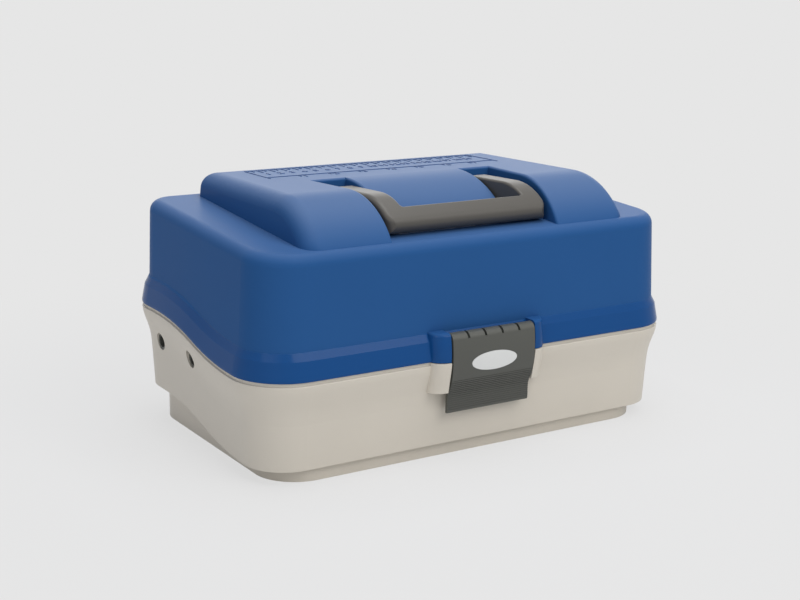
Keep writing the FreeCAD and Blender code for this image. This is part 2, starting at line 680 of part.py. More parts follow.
def build_handle():
    """U-shaped handle: arms follow the dome's curve, the grip fills the front recess."""
    y, z = size("handle_pivot_y"), size("handle_pivot_z")
    half, inner = size("handle_half_out"), size("handle_half_in")
    window, nose, under_z = size("handle_window"), size("handle_nose"), size("handle_under")
    slope = -0.03
    low, high = 100.0, 200.0
    corner, outer_round, inner_round, window_corner = 9.0, 4.0, 1.8, 1.5
    curve = (size("handle_curve_y"), size("handle_curve_z"), size("handle_radius"), slope)
    # The nose is a round that touches the handle's curve from inside
    centre_y, centre_z, radius = curve[:3]
    nose_z = under_z + nose
    nose_y = centre_y - math.sqrt((radius - nose) ** 2 - (nose_z - centre_z) ** 2)
    front = nose_y - nose - 0.5
    plan = Part.Face(rounded_rectangle(half, front, REACH, corner, low))
    bar = barrel(half, *curve, half_y).common(plan.extrude(Vector(0, 0, high - low)))
    outer = [edge for edge in crest_edges(bar, curve, y_to=half_y - 1)
             if not (abs(middle_of(edge).x) < 1e-3 and middle_of(edge).y > window)]
    bar = bar.makeFillet(outer_round, outer)
    # Gap between the arms, whose front face leans back below the grip
    lean_from, lean_to, lean = 178.0, 130.0, 4.0
    gap = side_profile([(window, high), (window, lean_from), (window + lean, lean_to),
                        (REACH, lean_to), (REACH, high)], -inner, inner)
    corners = [edge for edge in gap.Edges
               if all(v.Y < window + 2 * lean for v in edge.Vertexes)
               and abs(edge.Vertexes[0].X - edge.Vertexes[-1].X) < 1e-6]
    bar = bar.cut(gap.makeFillet(window_corner, corners))
    rim = [edge for edge in crest_edges(bar, curve, y_to=half_y - 1)
           if abs(middle_of(edge).x) < inner + 0.1 and middle_of(edge).y > window - 0.1]
    bar = bar.makeFillet(inner_round, rim)
    # Side outline: round end about the pivot, straight underside, rounded nose
    normal = math.hypot(1, slope)
    r = (barrel_top(y, *curve) - z) / normal
    heel = (nose_y + 0.5, under_z)
    away = math.atan2(heel[1] - z, heel[0] - y) + math.acos(r / math.hypot(heel[0] - y, heel[1] - z))
    low_end = (y + r * math.cos(away), z + r * math.sin(away))
    high_end = (y - r * slope / normal, z + r / normal)
    touch = math.atan2(nose_z - centre_z, centre_y - nose_y)
    between = (touch - math.pi / 2) / 2
    arc = [(nose_y - nose * math.cos(a), nose_z + nose * math.sin(a)) for a in (between, touch)]
    outside = (centre_y - 2 * radius * math.cos(touch), centre_z + 2 * radius * math.sin(touch))
    side = curved_profile(
        -half - 1, half + 1, (high_end[0], high), [high_end], [(y + r, z), low_end], [heel],
        [(nose_y, under_z)], arc, [outside], [(outside[0], high + radius)],
        [(high_end[0], high + radius)], [(high_end[0], high)])
    bar = bar.common(side)
    stud = size("handle_stud_radius")
    for side in SIDES.values():
        ends = sorted((side * (size("lobe_half") - 4.0), side * (inner + 2.0)))
        bar = bar.fuse(cylinder_x(stud, ends[0], ends[1], y, z))
    return largest_solid(bar.removeSplitter())


def latch_body(x_from, x_to, out):
    """Latch plate between two X planes, its front moved out by a small amount."""
    y, z, r = size("latch_pivot_y"), size("latch_pivot_z"), size("latch_barrel")
    low = size("latch_low")
    # Points are (y, z): the front from the roll down, then up the back past the snap nose
    front = [(-119.2, 79.0), (-119.0, 69.0), (-117.6, 60.0), (-114.6, 52.6), (-112.7, 48.2),
             (-112.3, 43.0), (-112.2, low)]
    tab_back = [[(-110.2, low)], [(-110.4, 48.4)], [(-112.9, 53.6), (-115.2, 60.0)]]
    nose = [[(-112.8, 62.2)], [(-112.8, 63.4)], [(-116.6, 64.5)]]
    plate = curved_profile(
        x_from, x_to, (y - r - out, z), [(a - out, b) for a, b in front], *tab_back, *nose,
        [(-117.2, 74.0), (-116.4, 84.0)], [(y, z)], [(y - r - out, z)])
    return plate.fuse(cylinder_x(r, x_from, x_to, y, z))


def build_latch():
    """Latch plate: rolled top round its pin, ribbed finger tab and a snap nose inside."""
    y, z = size("latch_pivot_y"), size("latch_pivot_z")
    half = size("latch_half")
    plate = latch_body(-half, half, 0.0)
    rib_low, rib_high, pitch, rib_height = size("latch_low") + 1.4, 61.5, 1.56, 0.35
    proud = latch_body(-half, half, rib_height)
    count = int((rib_high - rib_low) / pitch)
    before, deep = -120.0, 8.0
    ribs = [Part.makeBox(2 * half, deep, 0.5 * pitch, Vector(-half, before, rib_low + i * pitch))
            for i in range(count)]
    plate = plate.fuse([proud.common(rib) for rib in ribs])
    # Slots that run over the roll from its back to its front
    slot_spacing, slot_width, slot_floor, slot_low = 14.4, 1.9, 3.3, z + 1.2
    upper = Part.makeBox(4 * half, 20, 20, Vector(-2 * half, y - 10, slot_low))
    for step in (-1.5, -0.5, 0.5, 1.5):
        x = step * slot_spacing
        ring = cylinder_x(size("latch_barrel") + 2, x - slot_width / 2, x + slot_width / 2, y, z)
        ring = ring.cut(cylinder_x(slot_floor, x - slot_width, x + slot_width, y, z))
        plate = plate.cut(ring.common(upper))
    hole = size("latch_pin_radius") + 0.05
    plate = plate.cut(cylinder_x(hole, -half - 1, half + 1, y, z))
    plate = plate.cut(badge_bar(0.25).cut(latch_body(-half, half, -BADGE_THICK)))
    return largest_solid(plate)


def badge_bar(margin):
    """Oval bar through the latch's front at the badge's place, larger by a margin."""
    a, b = size("badge_half") + margin, size("badge_height") / 2 + margin
    before, deep = -125.0, 7.4
    centre = Vector(0, before, size("badge_z"))
    ellipse = Part.Ellipse(centre + Vector(a, 0, 0), centre + Vector(0, 0, b), centre)
    return Part.Face(Part.Wire([ellipse.toShape()])).extrude(Vector(0, deep, 0))


def build_badge():
    """Bare oval badge that lies in the latch plate's recess and follows its curve."""
    half = size("latch_half")
    shape = badge_bar(0.0).common(latch_body(-half, half, 0.15))
    return largest_solid(shape.cut(latch_body(-half, half, -BADGE_THICK)))


# Parametric pieces

def origin_plane(body, role):
    """One of a body's own origin planes."""
    return next(f for f in body.Origin.OriginFeatures if f.Role == role)


def new_sketch(body, name, role="XY_Plane", offset=0.0):
    """Empty sketch on one of the body's planes."""
    sketch = body.newObject("Sketcher::SketchObject", name)
    sketch.AttachmentSupport = [(origin_plane(body, role), "")]
    sketch.MapMode = "FlatFace"
    sketch.AttachmentOffset = Placement(Vector(0, 0, offset), Rotation())
    return sketch


def bind(sketch, index, name, expression):
    """Name a sketch dimension and tie it to the sheet."""
    sketch.renameConstraint(index, name)
    sketch.setExpression(f"Constraints.{name}", expression)


def circle(sketch, name, x, y, radius_expression, x_expression="0", y_expression="0"):
    """Circle whose radius and centre are tied to the sheet."""
    index = sketch.addGeometry(Part.Circle(Vector(x, y, 0), Z_AXIS, 5.0), False)
    radius = sketch.addConstraint(Sketcher.Constraint("Radius", index, 5.0))
    bind(sketch, radius, f"{name}_radius", radius_expression)
    for axis, value, expression in (("DistanceX", x, x_expression), ("DistanceY", y, y_expression)):
        if expression == "0":
            on_axis = -2 if axis == "DistanceX" else -1
            sketch.addConstraint(Sketcher.Constraint("PointOnObject", index, 3, on_axis))
        else:
            place = sketch.addConstraint(Sketcher.Constraint(axis, -1, 1, index, 3, value))
            bind(sketch, place, f"{name}_{axis[-1].lower()}", expression)


def slot_outline(sketch, length, width_expression, length_expression):
    """Bar with round ends from the origin along the sketch's X axis."""
    r = 5.0
    head = sketch.addGeometry(Part.ArcOfCircle(
        Part.Circle(Vector(0, 0, 0), Z_AXIS, r), math.pi / 2, 3 * math.pi / 2), False)
    tail = sketch.addGeometry(Part.ArcOfCircle(
        Part.Circle(Vector(length, 0, 0), Z_AXIS, r), -math.pi / 2, math.pi / 2), False)
    low = sketch.addGeometry(Part.LineSegment(Vector(0, -r, 0), Vector(length, -r, 0)), False)
    high = sketch.addGeometry(Part.LineSegment(Vector(length, r, 0), Vector(0, r, 0)), False)
    for rule in (("Tangent", head, 2, low, 1), ("Tangent", low, 2, tail, 1),
                 ("Tangent", tail, 2, high, 1), ("Tangent", high, 2, head, 1),
                 ("Coincident", head, 3, -1, 1), ("PointOnObject", tail, 3, -1)):
        sketch.addConstraint(Sketcher.Constraint(*rule))
    width = sketch.addConstraint(Sketcher.Constraint("Radius", head, r))
    bind(sketch, width, "end_radius", width_expression)
    reach = sketch.addConstraint(Sketcher.Constraint("DistanceX", head, 3, tail, 3, length))
    bind(sketch, reach, "bar_length", length_expression)


def frame_outline(sketch, expressions):
    """Rounded rectangle tied to the sheet: left, right, front, back and corner."""
    x0, x1, y0, y1, r = -50.0, 50.0, -30.0, 30.0, 8.0
    lines = [((x0 + r, y0), (x1 - r, y0)), ((x1, y0 + r), (x1, y1 - r)),
             ((x1 - r, y1), (x0 + r, y1)), ((x0, y1 - r), (x0, y0 + r))]
    centres = [(x1 - r, y0 + r, -90), (x1 - r, y1 - r, 0), (x0 + r, y1 - r, 90), (x0 + r, y0 + r, 180)]
    sides, corners = [], []
    for (ax, ay), (bx, by) in lines:
        sides.append(sketch.addGeometry(
            Part.LineSegment(Vector(ax, ay, 0), Vector(bx, by, 0)), False))
    for cx, cy, start in centres:
        ring = Part.Circle(Vector(cx, cy, 0), Z_AXIS, r)
        corners.append(sketch.addGeometry(
            Part.ArcOfCircle(ring, math.radians(start), math.radians(start + 90)), False))
    for i in range(4):
        sketch.addConstraint(Sketcher.Constraint("Tangent", sides[i], 2, corners[i], 1))
        sketch.addConstraint(Sketcher.Constraint("Tangent", corners[i], 2, sides[(i + 1) % 4], 1))
        sketch.addConstraint(Sketcher.Constraint("Vertical" if i % 2 else "Horizontal", sides[i]))
    for i in range(1, 4):
        sketch.addConstraint(Sketcher.Constraint("Equal", corners[0], corners[i]))
    radius = sketch.addConstraint(Sketcher.Constraint("Radius", corners[0], r))
    bind(sketch, radius, "corner", expressions["corner"])
    places = [("DistanceX", sides[3], x0, "left"), ("DistanceX", sides[1], x1, "right"),
              ("DistanceY", sides[0], y0, "front"), ("DistanceY", sides[2], y1, "back")]
    for rule, line, value, name in places:
        index = sketch.addConstraint(Sketcher.Constraint(rule, -1, 1, line, 1, value))
        bind(sketch, index, name, expressions[name])


def pad(body, sketch, name, length, down=False):
    """Pad of a length that is tied to the sheet."""
    feature = body.newObject("PartDesign::Pad", name)
    feature.Profile = sketch
    feature.setExpression("Length", length)
    feature.Reversed = down
    return feature


def pocket(body, sketch, name, length, up=False):
    """Pocket of a length that is tied to the sheet."""
    feature = body.newObject("PartDesign::Pocket", name)
    feature.Profile = sketch
    feature.setExpression("Length", length)
    feature.Reversed = up
    return feature


def new_body(label):
    """PartDesign body that becomes one file."""
    body = doc.addObject("PartDesign::Body", label)
    body.Label = label
    return body


def build_arm(label, pivot_y, side):
    """Cantilever arm: bar with two rivet holes and a hollow stud for the tub's wall.

    The sketch plane is the arm's inner face: its X axis runs up the arm, its normal outwards.
    """
    body = new_body(label)
    plate = new_sketch(body, label + "_outline")
    step = size("arm_step")
    slot_outline(plate, 2 * step, "Sizes.arm_width / 2", "2 * Sizes.arm_step")
    pad(body, plate, label + "_plate", "Sizes.arm_thick")
    boss = new_sketch(body, label + "_boss_circle")
    circle(boss, "boss", 0, 0, "Sizes.stud_radius + 1.6")
    pad(body, boss, label + "_boss", "Sizes.stud_shoulder_x - Sizes.arm_inner_x")
    stud = new_sketch(body, label + "_stud_circle")
    circle(stud, "stud", 0, 0, "Sizes.stud_radius")
    pad(body, stud, label + "_stud", "Sizes.stud_end_x - Sizes.arm_inner_x")
    hollow = new_sketch(body, label + "_hollow_circle")
    hollow.setExpression("AttachmentOffset.Base.z", "Sizes.arm_thick - 1")
    circle(hollow, "hollow", 0, 0, "Sizes.stud_bore_radius")
    pocket(body, hollow, label + "_hollow", "20", up=True)
    holes = new_sketch(body, label + "_rivet_circles")
    for steps in (1, 2):
        circle(holes, f"hole{steps}", steps * step, 0, "Sizes.rivet_radius + Sizes.rivet_clearance",
               x_expression=f"{steps} * Sizes.arm_step")
    pocket(body, holes, label + "_rivet_holes", "20", up=True)
    body.Placement = side_placement(side, size("arm_inner_x"), pivot_y, size("arm_pivot_z"),
                                    arm_dy, arm_dz)
    return body


def side_placement(side, x, y, z, dy, dz):
    """Placement with local X along (dy, dz) and local Z pointing out of the box's end."""
    out = Vector(side, 0, 0)
    along = Vector(0, dy, dz).normalize()
    across = out.cross(along)
    return Placement(Vector(side * x, y, z), Rotation(along, across, out, "ZXY"))


def build_link(label, side):
    """Lid link: flat bar from the back upper tray pin to the lid."""
    body = new_body(label)
    length = math.hypot(link_dy, link_dz)
    plate = new_sketch(body, label + "_outline")
    reach = ("sqrt((Sizes.hinge_y - Sizes.arm_back_y)^2 + (Sizes.seam_back - Sizes.arm_pivot_z)^2)")
    slot_outline(plate, length, "Sizes.link_width / 2", reach)
    pad(body, plate, label + "_plate", "Sizes.link_thick")
    holes = new_sketch(body, label + "_holes")
    circle(holes, "low", 0, 0, "Sizes.rivet_radius + Sizes.rivet_clearance")
    circle(holes, "high", length, 0, "Sizes.rivet_radius + Sizes.rivet_clearance", x_expression=reach)
    pocket(body, holes, label + "_rivet_holes", "20", up=True)
    y, z = arm_point(size("arm_back_y"), 2)
    body.Placement = side_placement(side, link_inner_x(), y, z, link_dy, link_dz)
    return body


def link_inner_x():
    """Inner face of the lid links, just outside the arms."""
    return size("arm_inner_x") + size("arm_thick") + 0.4


def tray_rows(tray):
    """Front and back edge of each row of compartments, in front of and behind the rib."""
    return {
        "front": ("Sizes.tray_front + Sizes.tray_wall", f"Sizes.{tray}_split - Sizes.tray_wall / 2"),
        "back": (f"Sizes.{tray}_split + Sizes.tray_wall / 2", "Sizes.tray_back - Sizes.tray_wall"),
    }


def build_tray(label, pin_step):
    """Tray: rounded pan with a lengthwise rib and holes for four rivets."""
    body = new_body(label)
    base = f"Sizes.{label}_z"
    outline = new_sketch(body, label + "_outline")
    outline.setExpression("AttachmentOffset.Base.z", base)
    frame_outline(outline, {
        "left": "-Sizes.tray_half", "right": "Sizes.tray_half", "front": "Sizes.tray_front",
        "back": "Sizes.tray_back", "corner": "Sizes.tray_corner"})
    pad(body, outline, label + "_block", f"Sizes.{label}_height")
    for row, (front, back) in tray_rows(label).items():
        sketch = new_sketch(body, f"{label}_{row}_row")
        sketch.setExpression("AttachmentOffset.Base.z", f"{base} + Sizes.tray_wall")
        frame_outline(sketch, {
            "left": "-Sizes.tray_half + Sizes.tray_wall", "right": "Sizes.tray_half - Sizes.tray_wall",
            "front": front, "back": back, "corner": "Sizes.tray_corner - Sizes.tray_wall"})
        pocket(body, sketch, f"{label}_{row}_room", "60", up=True)
    holes = new_sketch(body, label + "_rivet_circles", "YZ_Plane", -200.0)
    for name, alias in (("back", "arm_back_y"), ("front", "arm_front_y")):
        y, z = arm_point(size(alias), pin_step)
        reach = f"{pin_step} * Sizes.arm_step"
        circle(holes, name + "_pin", y, z, "Sizes.rivet_radius",
               x_expression=f"Sizes.{alias} - {reach} * cos(Sizes.arm_angle * 1deg)",
               y_expression=f"Sizes.arm_pivot_z + {reach} * sin(Sizes.arm_angle * 1deg)")
    pocket(body, holes, label + "_rivet_holes", "400", up=True)
    return body


def build_divider(label, x, row_front, row_back, base_z, height):
    """Removable divider: thin plate across one row of a tray."""
    plate = doc.addObject("Part::Box", label)
    plate.Label = label
    plate.setExpression("Length", "Sizes.divider_thick")
    plate.setExpression("Width", f"{row_back} - ({row_front}) - 0.4")
    plate.setExpression("Height", height)
    plate.setExpression("Placement.Base.x", f"{x} - Sizes.divider_thick / 2")
    plate.setExpression("Placement.Base.y", f"{row_front} + 0.2")
    plate.setExpression("Placement.Base.z", base_z)
    return plate


def rivet(x_tray, x_outer, y, z, side):
    """Rivet from inside a tray wall out through arm and link, with a head at each end."""
    shank = sorted((side * (x_tray - HEAD_THICK), side * (x_outer + HEAD_THICK)))
    inner = sorted((side * (x_tray - HEAD_THICK), side * x_tray))
    outer = sorted((side * x_outer, side * (x_outer + HEAD_THICK)))
    bar = cylinder_x(size("rivet_radius"), shank[0], shank[1], y, z)
    for low, high in (inner, outer):
        bar = bar.fuse(cylinder_x(size("rivet_head"), low, high, y, z))
    return bar.removeSplitter()


def build_tray_rivets(pin_step):
    """Four rivets of one tray; the upper back ones also carry the lid links."""
    arm_outer = size("arm_inner_x") + size("arm_thick")
    link_outer = link_inner_x() + size("link_thick")
    bars = []
    for side in SIDES.values():
        for alias in ("arm_back_y", "arm_front_y"):
            y, z = arm_point(size(alias), pin_step)
            with_link = pin_step == 2 and alias == "arm_back_y"
            outer = link_outer if with_link else arm_outer
            bars.append(rivet(size("tray_half") - size("tray_wall"), outer + 0.2, y, z, side))
    return Part.makeCompound(bars)


def build_link_rivets():
    """Two rivets that hold the lid links to the bosses inside the lid's ends."""
    y, z = link_pivot_on_lid()
    bars = []
    for side in SIDES.values():
        head_out = link_inner_x() - 0.2
        head_in = head_out - HEAD_THICK
        head = sorted((side * head_in, side * head_out))
        shank = sorted((side * head_in, side * link_rivet_end()))
        bars.append(cylinder_x(size("rivet_radius"), shank[0], shank[1], y, z).fuse(
            cylinder_x(size("rivet_head"), head[0], head[1], y, z)).removeSplitter())
    return Part.makeCompound(bars)


def build_pin(label, radius, half_length, x, y, z):
    """Straight steel pin along X, tied to the sheet."""
    pin = doc.addObject("Part::Cylinder", label)
    pin.Label = label
    pin.setExpression("Radius", radius)
    pin.setExpression("Height", f"2 * ({half_length})")
    pin.Placement.Rotation = Rotation(Vector(0, 1, 0), 90)
    pin.setExpression("Placement.Base.x", f"{x} - ({half_length})")
    pin.setExpression("Placement.Base.y", y)
    pin.setExpression("Placement.Base.z", z)
    return pin


def set_piece(label, shape):
    """Piece whose shape is worked out in code."""
    piece = doc.addObject("Part::Feature", label)
    piece.Label = label
    piece.Shape = shape
    return piece


pieces = [
    set_piece("tub_shell", build_tub()),
    set_piece("lid_shell", build_lid()),
    set_piece("handle", build_handle()),
    set_piece("latch_plate", build_latch()),
    set_piece("latch_badge", build_badge()),
    set_piece("lower_tray_rivets", build_tray_rivets(1)),
    set_piece("upper_tray_rivets", build_tray_rivets(2)),
    set_piece("lid_link_rivets", build_link_rivets()),
    build_tray("lower_tray", 1),
    build_tray("upper_tray", 2),
    build_pin("latch_pin", "Sizes.latch_pin_radius", "Sizes.latch_pin_half", "0",
              "Sizes.latch_pivot_y", "Sizes.latch_pivot_z"),
]

for name, side in SIDES.items():
    pieces.append(build_arm(f"back_arm_{name}", size("arm_back_y"), side))
    pieces.append(build_arm(f"front_arm_{name}", size("arm_front_y"), side))
    pieces.append(build_link(f"lid_link_{name}", side))
    pieces.append(build_pin(f"hinge_pin_{name}", "Sizes.hinge_pin_radius",
                            f"Sizes.knuckle_length / 2 + {LID_KNUCKLE + KNUCKLE_PLAY}",
                            f"{side} * Sizes.hinge_place",
                            "Sizes.hinge_y", "Sizes.seam_back"))

DIVIDERS = {
    "lower": {"front": (-52, 52), "back": (-78, 0, 78)},
    "upper": {"front": (-78, 0, 78), "back": (-52, 52)},
}
for tray, rows in DIVIDERS.items():
    for row, places in rows.items():
        for number, x in enumerate(places, start=1):
            pieces.append(build_divider(
                f"{tray}_{row}_divider_{number}", x, *tray_rows(f"{tray}_tray")[row],
                f"Sizes.{tray}_tray_z + Sizes.tray_wall",
                f"Sizes.{tray}_tray_height - Sizes.tray_wall - 3"))

doc.recompute()

for item in doc.Objects:
    if "Invalid" in item.State or "Error" in item.State:
        raise RuntimeError(f"{item.Name} failed to build: {item.State}")
for piece in pieces:
    if piece.Shape.isNull() or not piece.Shape.isValid():
        raise RuntimeError(f"{piece.Label} has no valid shape")

os.makedirs("parts", exist_ok=True)
for piece in pieces:
    piece.Shape.exportStep(f"parts/{piece.Label}.step")
    print(piece.Label, len(piece.Shape.Solids), round(piece.Shape.Volume / 1000, 2), "cm3")
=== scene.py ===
"""Looks of the two-tray fishing tackle box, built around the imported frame. Metres."""
import math

import bmesh
import bpy
from mathutils import Matrix, Vector


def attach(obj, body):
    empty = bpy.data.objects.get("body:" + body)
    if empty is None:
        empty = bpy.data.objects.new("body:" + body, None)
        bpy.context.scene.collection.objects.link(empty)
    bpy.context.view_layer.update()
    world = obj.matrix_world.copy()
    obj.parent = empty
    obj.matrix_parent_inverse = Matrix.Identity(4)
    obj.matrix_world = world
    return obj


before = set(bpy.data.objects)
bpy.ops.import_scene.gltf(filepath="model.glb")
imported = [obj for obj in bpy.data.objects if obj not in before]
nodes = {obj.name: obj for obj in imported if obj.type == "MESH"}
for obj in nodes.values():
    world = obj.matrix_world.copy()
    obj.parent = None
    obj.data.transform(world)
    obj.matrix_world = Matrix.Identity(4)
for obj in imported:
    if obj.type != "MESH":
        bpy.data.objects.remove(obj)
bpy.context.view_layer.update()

# Camera of the photograph, which is 800 pixels wide
PHOTO_WIDTH = 800
FOCAL_PX = 1413.56
SENSOR_WIDTH = 36.0
CLIP_NEAR, CLIP_FAR = 0.01, 50.0
AZIMUTH, ELEVATION, ROLL = (math.radians(v) for v in (-32.57, 13.56, 0.75))
TARGET = Vector((0, 0, 0.080))
DISTANCE = 1.08356
SLIDE_RIGHT, SLIDE_UP = -0.00268, 0.00859

# Surround as the camera sees it, and the slightly cool light that it gives
BACKGROUND = (0.791, 0.791, 0.791, 1)
WORLD_COLOUR = (0.86, 0.90, 1.0, 1)
WORLD_LIGHT = 0.30

# Soft boxes: name, place, point that it looks at, width, height, watts, colour
SOFT_BOXES = (
    ("top_box", (0.1, 0.0, 1.5), (0, 0, 0.1), 1.4, 1.2, 14, (1, 1, 1)),
    ("back_box", (0.95, 1.5, 0.7), (0, 0, 0.15), 1.8, 0.7, 5, (1, 1, 1)),
    ("key_box", (0.35, -1.35, 1.3), (0, 0, 0.1), 1.4, 1.1, 13, (1.0, 0.98, 0.95)),
    ("left_box", (-1.4, -0.9, 0.8), (0, 0, 0.1), 1.2, 0.9, 4.4, (1.0, 0.99, 0.98)),
)

# Floor: half its length, its paint, and how it turns into the background with distance
FLOOR_REACH = 40.0
FLOOR_PAINT = (0.75, 0.75, 0.75, 1)
FADE_DISTANCES = (0.22, 0.55)
FADE_SHARES = (0.80, 1.0)

# Moulded plastic: flow marks, waves of the wall and fine grain, and the spread of the gloss
FLOW_SIZE, FLOW_DETAIL = 0.11, 5
WAVE_SIZE, WAVE_DETAIL = 0.06, 2
WAVE_STRENGTH, WAVE_DEPTH = 0.35, 0.0006
GRAIN_SIZE, GRAIN_DETAIL = 0.0011, 3
GRAIN_STRENGTH, GRAIN_DEPTH = 1.0, 0.00003
POLISHED_DEPTH, RULER_DEPTH = 0.000004, 0.00001
GLOSS_SPREAD = 0.05

# Glossy band of the lid: heights of the seam at the front and back, where it climbs, the
# band's height over it and the softness of its edge, its coat, and what is left of the grain
SEAM_HEIGHTS = (0.0736, 0.091)
SEAM_RISE = (-0.072, 0.058)
BAND_HEIGHT, BAND_EDGE = 0.0193, 0.0008
BAND_COAT = 0.22
BAND_GRAIN = 0.15

# Painted sheen of the lid: heights over which it comes in, and how far up a face looks
PAINTED_SHEEN_HEIGHTS = (0.138, 0.186)
PAINTED_SHEEN_FACING = (0.1, 1.0)

# Top of the lid's dome: its height at a place in depth, and its fall towards the back
DOME_HEIGHT, DOME_PLACE, DOME_FALL = 0.187003, -0.0455, 0.01

# Moulded ruler on the dome: left end, front line and rear line, units, and its relief
RULER_LEFT, RULER_FRONT, RULER_BACK = -0.101, 0.029, 0.066
INCH, INCHES = 0.0254, 8
CM, CMS = 0.01, 20
RELIEF, SUNK, DRAFT = 0.0004, 0.0003, 0.00015
LINE = 0.0009
LONG_MARK, SHORT_MARK = 0.011, 0.006
CLEAR = 0.0002

# Numerals of the ruler: place in depth, height, and how far those of the inches stand aside
CM_DIGIT_Y, CM_DIGIT_HEIGHT = 0.0455, 0.0062
INCH_DIGIT_Y, INCH_DIGIT_HEIGHT = 0.0235, 0.0055
INCH_DIGIT_SHIFT = 0.004
DIGIT_SHARE_OF_FONT = 0.7
DIGIT_THICKER = 0.0001

# Points of a mesh that are nearer to each other than this are joined
SAME_PLACE = 1e-6


def make_camera():
    """Camera at the photograph's viewing angle."""
    back = Vector((math.sin(AZIMUTH) * math.cos(ELEVATION),
                   -math.cos(AZIMUTH) * math.cos(ELEVATION), math.sin(ELEVATION)))
    right = (-back).cross(Vector((0, 0, 1))).normalized()
    up = right.cross(-back)
    place = TARGET + DISTANCE * back + SLIDE_RIGHT * right + SLIDE_UP * up
    turned_right = math.cos(ROLL) * right + math.sin(ROLL) * up
    turned_up = math.cos(ROLL) * up - math.sin(ROLL) * right
    data = bpy.data.cameras.new("camera")
    data.sensor_width = SENSOR_WIDTH
    data.lens = FOCAL_PX / PHOTO_WIDTH * data.sensor_width
    data.clip_start = CLIP_NEAR
    data.clip_end = CLIP_FAR
    camera = bpy.data.objects.new("camera", data)
    turn = Matrix((turned_right, turned_up, back)).transposed().to_4x4()
    camera.matrix_world = Matrix.Translation(place) @ turn
    bpy.context.scene.collection.objects.link(camera)
    bpy.context.scene.camera = camera


def area_light(name, place, aim, width, height, watts, colour):
    """Soft box that looks at a point."""
    data = bpy.data.lights.new(name, "AREA")
    data.shape = "RECTANGLE"
    data.size = width
    data.size_y = height
    data.energy = watts
    data.color = colour
    lamp = bpy.data.objects.new(name, data)
    lamp.visible_camera = False
    lamp.location = place
    lamp.rotation_euler = (Vector(aim) - Vector(place)).to_track_quat("-Z", "Y").to_euler()
    bpy.context.scene.collection.objects.link(lamp)


def combined(tree, operation, first, second):
    """Two values joined by a maths operation."""
    node = tree.nodes.new("ShaderNodeMath")
    node.operation = operation
    tree.links.new(first, node.inputs[0])
    tree.links.new(second, node.inputs[1])
    return node.outputs["Value"]


def seen_rays(tree):
    """1 for camera, glossy and transmission rays, 0 for the rays that light a surface."""
    path = tree.nodes.new("ShaderNodeLightPath")
    value = path.outputs["Is Camera Ray"]
    for name in ("Is Glossy Ray", "Is Transmission Ray"):
        value = combined(tree, "MAXIMUM", value, path.outputs[name])
    return value


def join_shaders(tree, share, first, second, out):
    """Mix of two shaders by a share, as the tree's surface."""
    mix = tree.nodes.new("ShaderNodeMixShader")
    tree.links.new(share, mix.inputs["Fac"])
    tree.links.new(first, mix.inputs[1])
    tree.links.new(second, mix.inputs[2])
    tree.links.new(mix.outputs["Shader"], out.inputs["Surface"])


def make_world_and_lights():
    """Even pale surround, with strong soft boxes above and in front, weak ones left and behind."""
    scene = bpy.context.scene
    scene.view_settings.view_transform = "Standard"
    world = bpy.data.worlds.new("surround")
    scene.world = world
    world.use_nodes = True
    tree = world.node_tree
    tree.nodes.clear()
    out = tree.nodes.new("ShaderNodeOutputWorld")
    light = tree.nodes.new("ShaderNodeBackground")
    light.inputs["Color"].default_value = WORLD_COLOUR
    light.inputs["Strength"].default_value = WORLD_LIGHT
    seen = tree.nodes.new("ShaderNodeBackground")
    seen.inputs["Color"].default_value = BACKGROUND
    join_shaders(tree, seen_rays(tree), light.outputs["Background"], seen.outputs["Background"], out)
    for box in SOFT_BOXES:
        area_light(*box)


def make_floor():
    """Pale floor that runs into the background and keeps a faint shadow near the object."""
    mesh = bpy.data.meshes.new("floor")
    corners = [(x * FLOOR_REACH, y * FLOOR_REACH, 0) for x, y in ((-1, -1), (1, -1), (1, 1), (-1, 1))]
    mesh.from_pydata(corners, [], [(0, 1, 2, 3)])
    floor = bpy.data.objects.new("floor", mesh)
    bpy.context.scene.collection.objects.link(floor)
    material = bpy.data.materials.new("floor_paint")
    material.use_nodes = True
    tree = material.node_tree
    tree.nodes.clear()
    out = tree.nodes.new("ShaderNodeOutputMaterial")
    paint = tree.nodes.new("ShaderNodeBsdfDiffuse")
    paint.inputs["Color"].default_value = FLOOR_PAINT
    glow = tree.nodes.new("ShaderNodeEmission")
    glow.inputs["Color"].default_value = BACKGROUND
    place = tree.nodes.new("ShaderNodeTexCoord")
    distance = tree.nodes.new("ShaderNodeVectorMath")
    distance.operation = "LENGTH"
    tree.links.new(place.outputs["Object"], distance.inputs[0])
    fade = ramp(tree, distance.outputs["Value"], FADE_DISTANCES, FADE_SHARES)
    share = combined(tree, "MULTIPLY", seen_rays(tree), fade)
    join_shaders(tree, share, paint.outputs["BSDF"], glow.outputs["Emission"], out)
    mesh.materials.append(material)


def linear(red, green, blue):
    """Screen colour of 0 to 255 as the linear colour that a shader takes, by the sRGB curve."""
    def channel(level):
        level /= 255
        return level / 12.92 if level <= 0.04045 else ((level + 0.055) / 1.055) ** 2.4
    return (channel(red), channel(green), channel(blue), 1)


def noise(tree, size, detail, place):
    """Noise with features of about a size in metres, read at the object's own place."""
    node = tree.nodes.new("ShaderNodeTexNoise")
    node.inputs["Scale"].default_value = 1 / size
    node.inputs["Detail"].default_value = detail
    tree.links.new(place.outputs["Object"], node.inputs["Vector"])
    return node.outputs["Fac"]


def ramp(tree, value, from_range, to_range):
    """Smooth step of a value from one range to another."""
    node = tree.nodes.new("ShaderNodeMapRange")
    node.interpolation_type = "SMOOTHSTEP"
    node.inputs["From Min"].default_value, node.inputs["From Max"].default_value = from_range
    node.inputs["To Min"].default_value, node.inputs["To Max"].default_value = to_range
    tree.links.new(value, node.inputs["Value"])
    return node.outputs["Result"]


